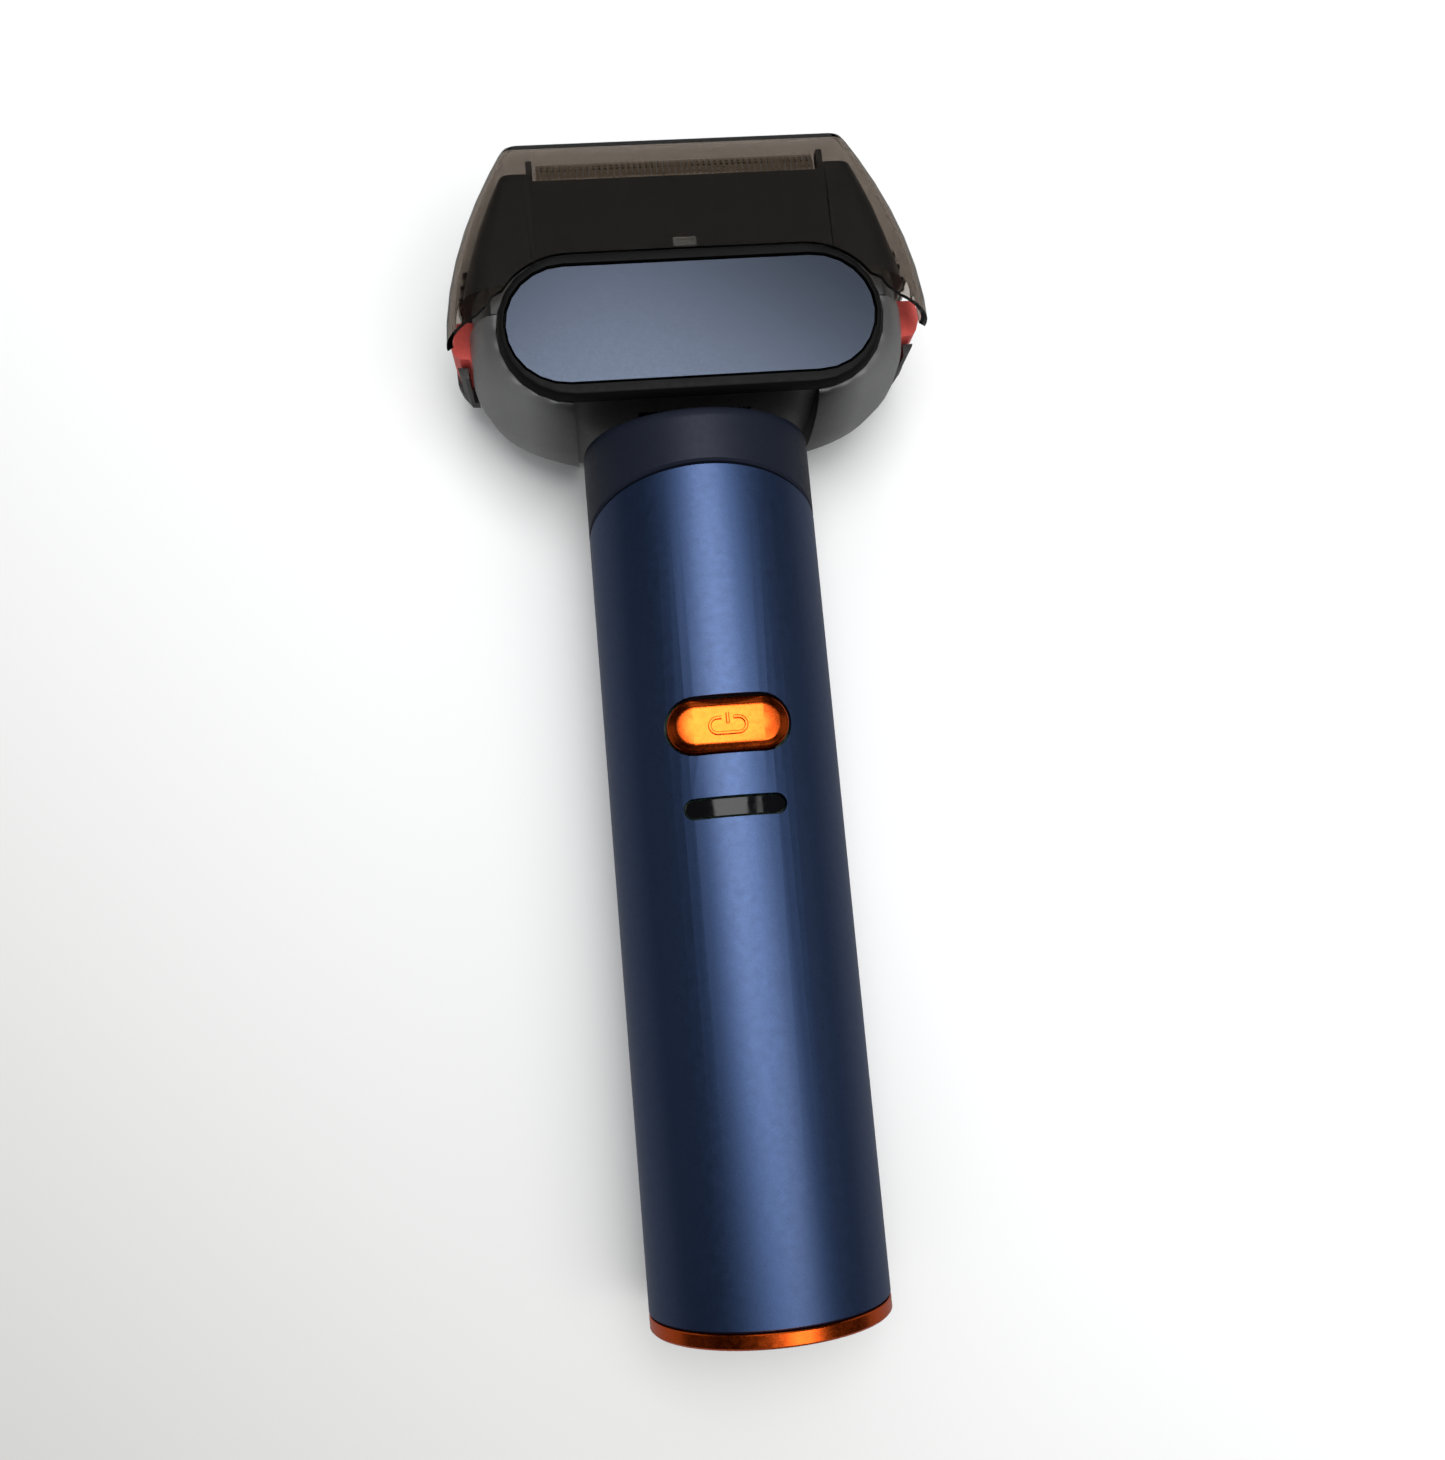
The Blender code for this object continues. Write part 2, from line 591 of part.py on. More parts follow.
def cap_half_width(y):
    """Half-width of the cap's outside, drawing in towards its top."""
    return CAP_HALF_WIDTH - CAP_DRAW_IN * ((y - CAP_LOW) / (LENGTH - CAP_LOW)) ** CAP_DRAW_POWER


def cassette_frame(model):
    """Black frame of the foils: raised middle panel, rounded shoulders, two posts."""
    low, high = CASSETTE_Y
    rings = []
    for i in range(8):
        share = i / 7
        y = low + (high - low) * share
        half = cap_half_width(y) - CAP_WALL - GAP - 0.1 * (1.0 - share)
        rings.append(place(rounded_rect(half, -10.8 + 1.4 * share, 9.9 - 1.2 * share,
                                        4.2 - 2.2 * share), "y", y))
    frame = model.add("cassette_frame", loft(rings), "black_plastic", "cassette_axis")
    panel = [(low, 8.0), (low, 11.2), (low + 2.0, 11.3), (PANEL_TOP, 9.5), (PANEL_TOP, 8.0)]
    model.combine(frame, prism(panel, "x", -POST_X, POST_X), "UNION")
    model.combine(frame, box((-POST_X + 0.4, PANEL_TOP, 4.0), (POST_X - 0.4, 160.0, 30.0)))
    model.combine(frame, box((-POST_X + 0.4, PANEL_TOP, -30.0), (POST_X - 0.4, 160.0, 4.5)))
    for side in (-1, 1):
        ends = sorted((side * (POST_X - 0.4), side * (POST_X + 0.4)))
        model.combine(frame, box((ends[0], 140.0, 6.8), (ends[1], POST_TOP, 8.6)), "UNION")
        ends = sorted((side * POST_X, side * (POST_X + 0.6)))
        model.combine(frame, box((ends[0], low + 1.7, 8.65), (ends[1], 160.0, 30.0)))
    inside = FOIL_HALF_LENGTH + 0.35
    model.combine(frame, box((-inside, low + 1.6, -8.9), (inside, 160.0, 8.9)))
    for side in (-1, 1):
        model.combine(frame, box((-4.4, low - 2.0, side * DRIVE_Z - 2.6),
                                 (4.4, low + 4.0, side * DRIVE_Z + 2.6)))


def foil_outline(z, radius, foot, skin=None):
    """Arch in y and z. With a skin it is an open sheet, without one a full block."""
    centre = FOIL_TOP - FOIL_R
    outside = arc((centre, z), radius, -90, 90, 14)
    outline = [(foot, z - radius)] + outside + [(foot, z + radius)]
    if skin:
        inside = arc((centre, z), radius - skin, 90, -90, 14)
        outline += [(foot, z + radius - skin)] + inside + [(foot, z - radius + skin)]
    return outline


def foils_and_cutters(model):
    """Arched foils over cutter blocks that swing beneath them, and the comb trimmer between."""
    for name, side in (("front", 1), ("rear", -1)):
        z = side * DRIVE_Z
        half = FOIL_HALF_LENGTH
        model.add(f"foil_{name}", prism(foil_outline(z, FOIL_R, 141.0, FOIL_SKIN), "x", -half, half),
                  "steel", "cassette_axis")
        empty = f"cutter_{name}_axis"
        model.add_empty(empty, (0.0, 138.0, z), "cassette_axis")
        model.add(f"cutter_{name}", prism(foil_outline(z, FOIL_R - FOIL_SKIN - 0.3, 142.8), "x",
                                          -half + 1.7, half - 1.7), "steel", empty)
        carrier = model.add(f"cutter_carrier_{name}", box((-14.0, 135.8, z - 2.7), (14.0, 140.2, z + 2.7)),
                            "black_plastic", empty)
        model.combine(carrier, box((-2.1, 130.0, z - 2.0), (2.1, 138.6, z + 2.0)))
        for tag, x in (("left", -9.0), ("right", 9.0)):
            model.add(f"cutter_spring_{name}_{tag}", coil(1.5, 0.2, (x, z), (140.5, 142.5), 3, "y", 8, 5),
                      "steel", empty)
    model.add("trimmer_comb", prism(comb(17.6, 141.0, 149.2, 1.6, 1.1), "z", 0.12, 0.9), "steel",
              "cassette_axis")
    model.add("trimmer_blade", prism(comb(16.0, 141.0, 148.9, 1.5, 1.1), "z", -0.9, -0.12), "steel",
              "cutter_rear_axis")


# ----------------------------------------------------------------------- cap

def cap_ring(y, wall):
    """Closed outline of the cap at one height, drawn in by the wall for the inside."""
    share = (y - CAP_LOW) / (LENGTH - CAP_LOW)
    front = 13.5 - 3.6 * share ** 1.8
    back = -13.9 + 3.6 * share ** 1.8
    half = cap_half_width(y)
    corner = 4.8 - 2.7 * share
    return place(rounded_rect(half - wall, back + wall, front - wall, corner - wall, 7), "y", y)


def cap_arch():
    """Front opening: round over the bezel, then flaring out to the cap's two low corners."""
    radius = BEZEL_SIZE[1] / 2 + BEZEL_FLARE + 0.35
    reach = (BEZEL_SIZE[0] - BEZEL_SIZE[1]) / 2
    flare = [(34.0, 110.0), (34.0, 124.1), (31.5, 124.3), (30.4, 125.0), (28.9, 125.7), (27.2, 126.5),
             (25.7, 127.8), (25.0, 129.0)]
    right = arc((reach, PLATE_Y), radius, 32, 90, 8)
    left = [(-x, y) for x, y in reversed(right)]
    return flare + right + left + [(-x, y) for x, y in reversed(flare)]


def travel_cap(model):
    shares = (0.0, 0.12, 0.27, 0.42, 0.57, 0.72, 0.86, 0.96)
    heights = [CAP_LOW + (LENGTH - CAP_LOW) * share for share in shares]
    outer = [cap_ring(y, 0.0) for y in heights]
    outer.append(cap_ring(LENGTH - 0.35, 0.1))
    outer.append(cap_ring(LENGTH, 0.55))
    inner = [cap_ring(y, CAP_WALL) for y in heights]
    inner.append(cap_ring(LENGTH - CAP_WALL, CAP_WALL + 0.3))
    cap = model.add("travel_cap", loft(inner[::-1] + outer), "smoky_clear", "cap_axis")
    model.combine(cap, prism(cap_arch(), "z", 4.0, 25.0))
    round_top = arc((CAP_ARCH_TOP - CAP_ARCH_R, CAP_ARCH_HALF_Z - CAP_ARCH_R), CAP_ARCH_R, 0, 90, 5)
    side = round_top + [(110.0, CAP_ARCH_HALF_Z), (110.0, -CAP_ARCH_HALF_Z)]
    side += [(y, -z) for y, z in reversed(round_top)]
    model.combine(cap, prism(side, "x", -40.0, 40.0))
    model.combine(cap, box((-40.0, 110.0, -25.0), (40.0, 127.5, -4.0)))
    for side_x in (-1, 1):
        for y in (133.2, 135.0, 136.8):
            ends = sorted((side_x * (cap_half_width(y) - 0.6), side_x * (cap_half_width(y) + 1.0)))
            model.combine(cap, box((ends[0], y - 0.35, -3.6), (ends[1], y + 0.35, 3.6)), "UNION")


# ---------------------------------------------------------------------- main

def clear_scene():
    for item in list(bpy.data.objects):
        bpy.data.objects.remove(item, do_unlink=True)


def main():
    clear_scene()
    model = Model()
    model.add_empty("head_pivot", (0.0, PIVOT_Y, 0.0))
    model.add_empty("cassette_axis", (0.0, CASSETTE_Y[0], 0.0), "head_pivot")
    model.add_empty("cap_axis", (0.0, LENGTH, 0.0), "cassette_axis")
    tube_and_collar(model)
    neck(model)
    handle_base(model)
    handle_inside(model)
    controls(model)
    head_housing(model)
    bezel_and_plate(model)
    head_deck(model)
    pivot(model)
    release_buttons(model)
    drive(model)
    cassette_frame(model)
    foils_and_cutters(model)
    travel_cap(model)


main()
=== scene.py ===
"""Looks of the electric shaver: materials, fine surface pieces, floor, studio light and camera."""

import json
import math

import bmesh
import bpy
from mathutils import Matrix, Vector


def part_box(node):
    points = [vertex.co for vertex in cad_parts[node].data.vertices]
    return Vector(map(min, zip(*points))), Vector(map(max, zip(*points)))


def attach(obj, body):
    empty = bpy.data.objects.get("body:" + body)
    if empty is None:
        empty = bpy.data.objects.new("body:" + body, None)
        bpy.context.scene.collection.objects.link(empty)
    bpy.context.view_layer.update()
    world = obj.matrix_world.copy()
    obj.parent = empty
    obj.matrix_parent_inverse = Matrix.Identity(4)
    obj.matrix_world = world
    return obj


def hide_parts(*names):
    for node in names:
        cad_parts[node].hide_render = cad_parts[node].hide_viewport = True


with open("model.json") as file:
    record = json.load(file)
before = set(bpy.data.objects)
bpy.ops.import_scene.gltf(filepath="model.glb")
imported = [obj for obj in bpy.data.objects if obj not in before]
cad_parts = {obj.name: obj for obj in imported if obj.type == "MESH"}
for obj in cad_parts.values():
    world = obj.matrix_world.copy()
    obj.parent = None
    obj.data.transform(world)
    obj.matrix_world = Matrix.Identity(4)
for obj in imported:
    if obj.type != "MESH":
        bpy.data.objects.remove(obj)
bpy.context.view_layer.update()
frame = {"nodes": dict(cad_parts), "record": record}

MM = 0.001

# Sizes shared with the CAD parts, in millimetres
LENGTH = 151.5
HANDLE_R = 15.0
BUTTON_Y = 72.15
BUTTON_SIZE = (15.0, 6.6)
BUTTON_R = 30.0
BUTTON_TOP = 14.8
BUTTON_BASE_Z = 11.6
HEAD_Y = 126.0
BOWL_SIZE = (29.0, 15.0)
NOTCH_HALF_WIDTH = 15.6

# Power button: pairs of how far in from its outline and how far below its face the rolled edge runs
BUTTON_EDGE = ((0.0, 0.62), (0.07, 0.48), (0.22, 0.36), (0.45, 0.26), (0.72, 0.16), (0.88, 0.07),
               (1.02, 0.02), (1.25, 0.0), (2.0, 0.0), (3.0, 0.0))
BUTTON_STEPS = 20

# On-off sign: a loop with a gap at its top and a bar in the gap, both of flattened wire
SIGN_SIZE = (4.5, 1.9)
SIGN_SHIFT = (-0.1, -0.15)
SIGN_HALF_GAP = 0.75
SIGN_BAR_START = 0.25
SIGN_BAR_RISE = 0.55
SIGN_STEPS = 10
SIGN_R = 0.2
SIGN_FLATNESS = 0.5

# Foil ribs: their spacing, the margin at each end, the angles round the arch, and the section as pairs of
# a place across and a height over the foil
RIB_PITCH = 0.8
RIB_MARGIN = 0.5
RIB_ANGLES = range(-20, 101, 12)
RIB_SECTION = ((-0.11, -0.03), (0.11, -0.03), (0.06, 0.07), (-0.06, 0.07))

# Grip lines on the cap's front
GRIP_COUNT = 3
GRIP_Y = 134.9
GRIP_Z = 12.9
GRIP_PITCH = 0.42
GRIP_DROP = 0.05
GRIP_R = 0.12
GRIP_PLACES = (-1.5, -1.4, 0.0, 1.4, 1.5)

# Shading of the meshes: angles in degrees, and the weld distance in metres
NODE_SPLIT_ANGLE = 32.0
PIECE_SHARP_ANGLE = 38.0
WELD_DISTANCE = 0.000002

# Middle part of a noise value, over which colour and roughness vary
NOISE_LOW = 0.3
NOISE_HIGH = 0.7

# Painted shade and painted reflection on the head's bowl: its grey goes dark toward its middle and its
# notch, and pale toward its rim. Tones by the distance from its middle, and by the distance across from its
# notch.
# Distances are shares of the half sizes, and the ramps end at TONE_RANGE.
BOWL_PAINTED_SHADE_AND_REFLECTION = ((0.74, 0.010), (0.80, 0.040), (0.92, 0.085), (1.04, 0.160))
NOTCH_PAINTED_SHADE = ((0.99, 0.02), (1.01, 0.08), (1.12, 0.28), (1.40, 1.0))
TONE_RANGE = 2.0
FAR = 1000.0

# Floor: side, depth below the shaver, and its colours by x + y in metres, with painted shade dimming it
# toward one corner only
FLOOR_SIDE = 40.0
FLOOR_DEPTH = 0.00005
FLOOR_PAINTED_SHADE = (0.59, 0.585, 0.565)
FLOOR_PALE = (0.93, 0.93, 0.925)
FLOOR_RANGE = 0.8
FLOOR_PAINTED_SHADING = ((-0.72, FLOOR_PALE), (-0.28, FLOOR_PAINTED_SHADE), (-0.20, FLOOR_PAINTED_SHADE), (0.0, FLOOR_PALE))

# Card under the floor that only reflections see
CARD_SIDE = 0.5
CARD_DEPTH = 0.0001
CARD_GLOW = 0.15

# Camera: where it stands over the shaver and how it is turned, in the frame's metres
CAMERA_PLACE = (-0.01583, -0.02954, 0.20224)
CAMERA_RIGHT = (0.9935, -0.0875, 0.0734)
CAMERA_UP = (0.0757, 0.9857, 0.1504)
CAMERA_BACK = (-0.0855, -0.1439, 0.9859)
LENS_MM = 35.73
SENSOR_MM = 36.0

CLIP_START = 0.01

# Sky: pairs of a height and a colour, and the strength
SKY_STOPS = ((0.15, (0.30, 0.30, 0.30)), (0.75, (0.96, 0.98, 1.0)))
SKY_STRENGTH = 0.57

# Softboxes over the shaver: name, place and size in metres, power in watts, turn in degrees
KEYS = (("upper", (0.02, 0.16, 0.85), (0.50, 0.46), 4.2, 50.0),
        ("lower", (0.38, -0.20, 0.85), (0.48, 0.45), 2.1, 30.0))

# Weak softboxes low around the shaver: name, place in metres, power in watts
FILLS = (("left", (-0.9, 0.0, 0.3), 0.12), ("right", (0.9, 0.0, 0.3), 0.12), ("head", (0.0, 0.9, 0.35), 0.4))
FILL_SIZE = (0.5, 0.4)


# ---------------------------------------------------------------------- frame

def design_y(y):
    """Frame metres along the handle for design millimetres from its lower end."""
    return (y - LENGTH / 2) * MM


def design(point):
    """Design millimetres (y from the handle's lower end, z from its axis) to frame metres."""
    return (point[0] * MM, design_y(point[1]), (point[2] + HANDLE_R) * MM)


# --------------------------------------------------------------- node helpers

def set_stops(node, stops):
    """Colour ramp through pairs of a place from 0 to 1 and a colour, in rising order."""
    elements = node.color_ramp.elements
    while len(elements) < len(stops):
        elements.new(1.0)
    for element, (place, colour) in zip(elements, stops):
        element.position = place
        element.color = (*colour, 1.0)


class Finish:
    """A Principled material with short calls for grain, bump and colour variation."""

    def __init__(self, name, colour, roughness, metallic=0.0, **fixed):
        self.material = bpy.data.materials.new(name)
        self.material.use_nodes = True
        self.nodes = self.material.node_tree.nodes
        self.links = self.material.node_tree.links
        self.shader = self.nodes["Principled BSDF"]
        self.output = self.nodes["Material Output"]
        self.colour = colour
        self.shader.inputs["Base Color"].default_value = (*colour, 1.0)
        self.shader.inputs["Roughness"].default_value = roughness
        self.shader.inputs["Metallic"].default_value = metallic
        for socket, value in fixed.items():
            self.shader.inputs[socket.replace("_", " ")].default_value = value
        self.coords = self.nodes.new("ShaderNodeTexCoord").outputs["Object"]

    def noise(self, scale, detail=3.0, rough=0.55, stretch=None):
        """Noise value over the object's own coordinates, scale in features per metre."""
        node = self.nodes.new("ShaderNodeTexNoise")
        node.inputs["Scale"].default_value = scale
        node.inputs["Detail"].default_value = detail
        node.inputs["Roughness"].default_value = rough
        source = self.coords
        if stretch:
            mapping = self.nodes.new("ShaderNodeMapping")
            mapping.inputs["Scale"].default_value = stretch
            self.links.new(source, mapping.inputs["Vector"])
            source = mapping.outputs["Vector"]
        self.links.new(source, node.inputs["Vector"])
        return node.outputs["Fac"]

    def ramp(self, value, *stops):
        """Colour that runs through pairs of a value from 0 to 1 and a colour."""
        node = self.nodes.new("ShaderNodeValToRGB")
        set_stops(node, stops)
        self.links.new(value, node.inputs["Fac"])
        return node.outputs["Color"]

    def remap(self, value, source, target):
        """Value taken from one range to another, both given as pairs of ends."""
        node = self.nodes.new("ShaderNodeMapRange")
        node.inputs["From Min"].default_value, node.inputs["From Max"].default_value = source
        node.inputs["To Min"].default_value, node.inputs["To Max"].default_value = target
        self.links.new(value, node.inputs["Value"])
        return node.outputs["Result"]

    def elliptic(self, centre, size):
        """Distance from a point in x and y, as a share of the two half sizes."""
        mapping = self.nodes.new("ShaderNodeMapping")
        mapping.vector_type = "TEXTURE"
        mapping.inputs["Location"].default_value = (*centre, 0.0)
        mapping.inputs["Scale"].default_value = (*size, FAR)
        self.links.new(self.coords, mapping.inputs["Vector"])
        length = self.nodes.new("ShaderNodeVectorMath")
        length.operation = "LENGTH"
        self.links.new(mapping.outputs["Vector"], length.inputs[0])
        return length.outputs["Value"]

    def tones(self, value, pairs):
        """Grey that runs through pairs of a value up to TONE_RANGE and a tone."""
        share = self.remap(value, (0.0, TONE_RANGE), (0.0, 1.0))
        return self.ramp(share, *((at / TONE_RANGE, (tone, tone, tone)) for at, tone in pairs))

    def vary_colour(self, value, amount):
        """Base colour a little darker and lighter than the stated one, by a share."""
        dark = [c * (1.0 - amount) for c in self.colour]
        light = [min(c * (1.0 + amount), 1.0) for c in self.colour]
        varied = self.ramp(value, (NOISE_LOW, dark), (NOISE_HIGH, light))
        self.links.new(varied, self.shader.inputs["Base Color"])

    def vary_roughness(self, value, smooth, rough):
        """Roughness between a smooth and a rough value, by a noise value."""
        varied = self.remap(value, (NOISE_LOW, NOISE_HIGH), (smooth, rough))
        self.links.new(varied, self.shader.inputs["Roughness"])

    def bump(self, value, height_mm, strength):
        """Relief of the surface by a value, with its full height in millimetres."""
        node = self.nodes.new("ShaderNodeBump")
        node.inputs["Distance"].default_value = height_mm * MM
        node.inputs["Strength"].default_value = strength
        self.links.new(value, node.inputs["Height"])
        self.links.new(node.outputs["Normal"], self.shader.inputs["Normal"])


# ------------------------------------------------------------------ materials

def blue_aluminium():
    finish = Finish("blue_aluminium", (0.060, 0.105, 0.238), 0.50, 1.0, Coat_Weight=0.3,
                    Coat_Roughness=0.3)
    flake = finish.noise(5200.0, 2.0, 0.6)
    finish.vary_colour(flake, 0.10)
    finish.vary_roughness(finish.noise(900.0, 4.0), 0.47, 0.53)
    finish.bump(flake, 0.006, 0.5)
    return finish.material


def navy_satin():
    finish = Finish("navy_satin", (0.014, 0.018, 0.032), 0.48, 0.3, Specular_IOR_Level=0.25)
    finish.vary_colour(finish.noise(4000.0, 2.0), 0.10)
    finish.vary_roughness(finish.noise(1200.0, 4.0), 0.45, 0.52)
    finish.bump(finish.noise(5200.0, 2.0), 0.004, 0.5)
    return finish.material


def grey_satin():
    """Satin bowl of the head with painted shade dark near its notch, and a painted reflection paler toward
    its rim.
    """
    finish = Finish("grey_satin", (0.06, 0.06, 0.06), 0.42, 0.0, Specular_IOR_Level=0.9)
    finish.vary_roughness(finish.noise(1500.0, 4.0), 0.39, 0.46)
    finish.bump(finish.noise(7000.0, 3.0), 0.006, 0.6)
    rim = finish.elliptic((0.0, design_y(HEAD_Y)), (BOWL_SIZE[0] * MM, BOWL_SIZE[1] * MM))
    across = finish.elliptic((0.0, 0.0), (NOTCH_HALF_WIDTH * MM, FAR))
    # painted shade and light: the bowl's grey is darkened toward its middle and its notch, and paled toward
    # its rim
    tone = finish.nodes.new("ShaderNodeMath")
    tone.operation = "MULTIPLY"
    finish.links.new(finish.tones(rim, BOWL_PAINTED_SHADE_AND_REFLECTION), tone.inputs[0])
    finish.links.new(finish.tones(across, NOTCH_PAINTED_SHADE), tone.inputs[1])
    finish.links.new(tone.outputs["Value"], finish.shader.inputs["Base Color"])
    return finish.material


def black_plastic():
    finish = Finish("black_plastic", (0.013, 0.013, 0.0135), 0.38)
    finish.vary_colour(finish.noise(2500.0, 3.0), 0.12)
    finish.vary_roughness(finish.noise(900.0, 4.0), 0.33, 0.43)
    finish.bump(finish.noise(6000.0, 2.0), 0.003, 0.5)
    return finish.material


def bezel_black():
    finish = Finish("bezel_black", (0.004, 0.004, 0.004), 0.5, 0.0, Specular_IOR_Level=0.12)
    finish.vary_roughness(finish.noise(900.0, 4.0), 0.45, 0.55)
    finish.bump(finish.noise(6000.0, 2.0), 0.003, 0.5)
    return finish.material


def cassette_black():
    finish = Finish("cassette_black", (0.045, 0.050, 0.059), 0.4)
    finish.vary_colour(finish.noise(2500.0, 3.0), 0.10)
    finish.vary_roughness(finish.noise(900.0, 4.0), 0.35, 0.45)
    finish.bump(finish.noise(6000.0, 2.0), 0.003, 0.5)
    return finish.material


def slate_metal():
    finish = Finish("slate_metal", (0.047, 0.057, 0.079), 0.24, 1.0)
    flake = finish.noise(5600.0, 2.0, 0.6)
    finish.vary_colour(flake, 0.10)
    finish.vary_roughness(finish.noise(2400.0, 3.0), 0.225, 0.255)
    finish.bump(flake, 0.005, 0.5)
    return finish.material


def copper_gloss():
    finish = Finish("copper_gloss", (0.92, 0.125, 0.015), 0.27, 1.0)
    finish.vary_colour(finish.noise(2200.0, 3.0), 0.05)
    finish.vary_roughness(finish.noise(1500.0, 4.0), 0.23, 0.31)
    finish.bump(finish.noise(3000.0, 3.0), 0.003, 0.5)
    return finish.material


def red_plastic():
    finish = Finish("red_plastic", (0.68, 0.075, 0.06), 0.5)
    finish.vary_colour(finish.noise(2500.0, 3.0), 0.07)
    finish.vary_roughness(finish.noise(1500.0, 4.0), 0.45, 0.55)
    finish.bump(finish.noise(6000.0, 3.0), 0.005, 0.6)
    return finish.material


def smoky_clear():
    """Clear plastic tinted in its thickness, so it darkens where it is seen edge on."""
    finish = Finish("smoky_clear", (0.97, 0.96, 0.95), 0.05, 0.0, Transmission_Weight=1.0, IOR=1.45)
    finish.vary_roughness(finish.noise(1200.0, 4.0), 0.03, 0.07)
    finish.bump(finish.noise(900.0, 3.0), 0.004, 0.3)
    tint = finish.nodes.new("ShaderNodeVolumeAbsorption")
    tint.inputs["Color"].default_value = (0.42, 0.36, 0.30, 1.0)
    tint.inputs["Density"].default_value = 1650.0
    finish.links.new(tint.outputs["Volume"], finish.output.inputs["Volume"])
    return finish.material


def window_black():
    finish = Finish("window_black", (0.004, 0.004, 0.005), 0.08, 0.0, Specular_IOR_Level=0.25)
    finish.vary_roughness(finish.noise(1500.0, 4.0), 0.05, 0.12)
    finish.bump(finish.noise(260.0, 2.0), 0.02, 0.4)
    return finish.material


def steel():
    """Drawn steel with fine lines along x."""
    finish = Finish("steel", (0.55, 0.54, 0.53), 0.3, 1.0)
    lines = finish.noise(1500.0, 3.0, 0.6, (0.15, 2.5, 2.5))
    finish.vary_colour(lines, 0.08)
    finish.vary_roughness(lines, 0.22, 0.4)
    finish.bump(lines, 0.003, 0.5)
    return finish.material


def foil_steel():
    """Thin foil with a staggered field of small holes."""
    finish = Finish("foil_steel", (0.42, 0.37, 0.31), 0.3, 1.0)
    cells = finish.nodes.new("ShaderNodeTexVoronoi")
    cells.inputs["Scale"].default_value = 1300.0
    cells.inputs["Randomness"].default_value = 0.0
    finish.links.new(finish.coords, cells.inputs["Vector"])
    dots = finish.ramp(cells.outputs["Distance"], (0.30, (0.02, 0.02, 0.02)), (0.36, finish.colour))
    finish.links.new(dots, finish.shader.inputs["Base Color"])
    finish.bump(cells.outputs["Distance"], 0.05, 0.6)
    return finish.material


def copper_wire():
    finish = Finish("copper_wire", (0.7, 0.28, 0.1), 0.35, 1.0)
    turns = finish.noise(3000.0, 1.0, 0.5, (3.0, 0.05, 0.05))
    finish.vary_colour(turns, 0.25)
    finish.bump(turns, 0.05, 0.8)
    return finish.material


def rubber():
    finish = Finish("rubber", (0.014, 0.014, 0.014), 0.8)
    finish.vary_roughness(finish.noise(2500.0, 3.0), 0.7, 0.9)
    finish.bump(finish.noise(4000.0, 3.0), 0.01, 0.6)
    return finish.material


def board_green():
    finish = Finish("board_green", (0.02, 0.13, 0.05), 0.4)
    finish.vary_colour(finish.noise(700.0, 1.0), 0.3)
    finish.vary_roughness(finish.noise(900.0, 3.0), 0.3, 0.5)
    return finish.material


def cell_wrap():
    finish = Finish("cell_wrap", (0.05, 0.22, 0.33), 0.4)
    finish.vary_colour(finish.noise(300.0, 3.0), 0.08)
    finish.vary_roughness(finish.noise(700.0, 3.0), 0.32, 0.48)
    finish.bump(finish.noise(200.0, 3.0), 0.05, 0.4)
    return finish.material


def milky():
    finish = Finish("milky", (0.75, 0.75, 0.74), 0.45)
    finish.vary_roughness(finish.noise(900.0, 3.0), 0.4, 0.5)
    return finish.material


MAKERS = {
    "blue_aluminium": blue_aluminium, "navy_satin": navy_satin, "grey_satin": grey_satin,
    "black_plastic": black_plastic, "slate_metal": slate_metal, "copper_gloss": copper_gloss,
    "red_plastic": red_plastic, "smoky_clear": smoky_clear, "window_black": window_black,
    "steel": steel, "copper_wire": copper_wire, "rubber": rubber, "board_green": board_green,
    "cell_wrap": cell_wrap, "milky": milky,
}


def dress(name, material):
    """Gives a CAD node one material and no other."""
    materials = frame["nodes"][name].data.materials
    materials.clear()
    materials.append(material)


def dress_nodes():
    """Every CAD node takes the finish of its own slot, and a few take a special one instead."""
    finishes = {slot: make() for slot, make in MAKERS.items()}
    for part in frame["record"]["subparts"]:
        dress(part["node"], finishes[part["material_slot"]])
    foil = foil_steel()
    special = {"foil_front": foil, "foil_rear": foil, "front_bezel": bezel_black(),
               "cassette_frame": cassette_black()}
    for name, material in special.items():
        dress(name, material)
    return finishes


# ------------------------------------------------------------- CAD node looks

def smooth_nodes():
    """Round surfaces of the CAD nodes shade as one, and real edges stay crisp."""
    for node in frame["nodes"].values():
        mesh = node.data
        if "custom_normal" in mesh.attributes:
            mesh.attributes.remove(mesh.attributes["custom_normal"])
        mesh.polygons.foreach_set("use_smooth", [True] * len(mesh.polygons))
        weld = node.modifiers.new("weld", "WELD")
        weld.merge_threshold = WELD_DISTANCE
        split = node.modifiers.new("split", "EDGE_SPLIT")
        split.split_angle = math.radians(NODE_SPLIT_ANGLE)
        even = node.modifiers.new("even", "WEIGHTED_NORMAL")
        even.mode = "FACE_AREA_WITH_ANGLE"


# --------------------------------------------------------------------- pieces

def finish_piece(name, body, body_name, slot, material, *replaced):
    """Object from a millimetre mesh, smooth shaded, riding on a CAD body."""
    for vert in body.verts:
        vert.co = design(vert.co)
    bmesh.ops.recalc_face_normals(body, faces=body.faces)
    mesh = bpy.data.meshes.new(name)
    body.to_mesh(mesh)
    body.free()
    mesh.shade_smooth()
    mesh.set_sharp_from_angle(angle=math.radians(PIECE_SHARP_ANGLE))
    mesh.materials.append(material)
    piece = bpy.data.objects.new(name, mesh)
    bpy.context.scene.collection.objects.link(piece)
    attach(piece, body_name)
    if replaced:
        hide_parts(*replaced)


def add_loft(body, rings):
    """Skin through rings of equal length, with a face over each end."""
    loops = [[body.verts.new(point) for point in ring] for ring in rings]
    count = len(loops[0])
    for lower, upper in zip(loops, loops[1:]):
        for i in range(count):
            j = (i + 1) % count
            body.faces.new((lower[i], lower[j], upper[j], upper[i]))
    body.faces.new(loops[0][::-1])
    body.faces.new(loops[-1])


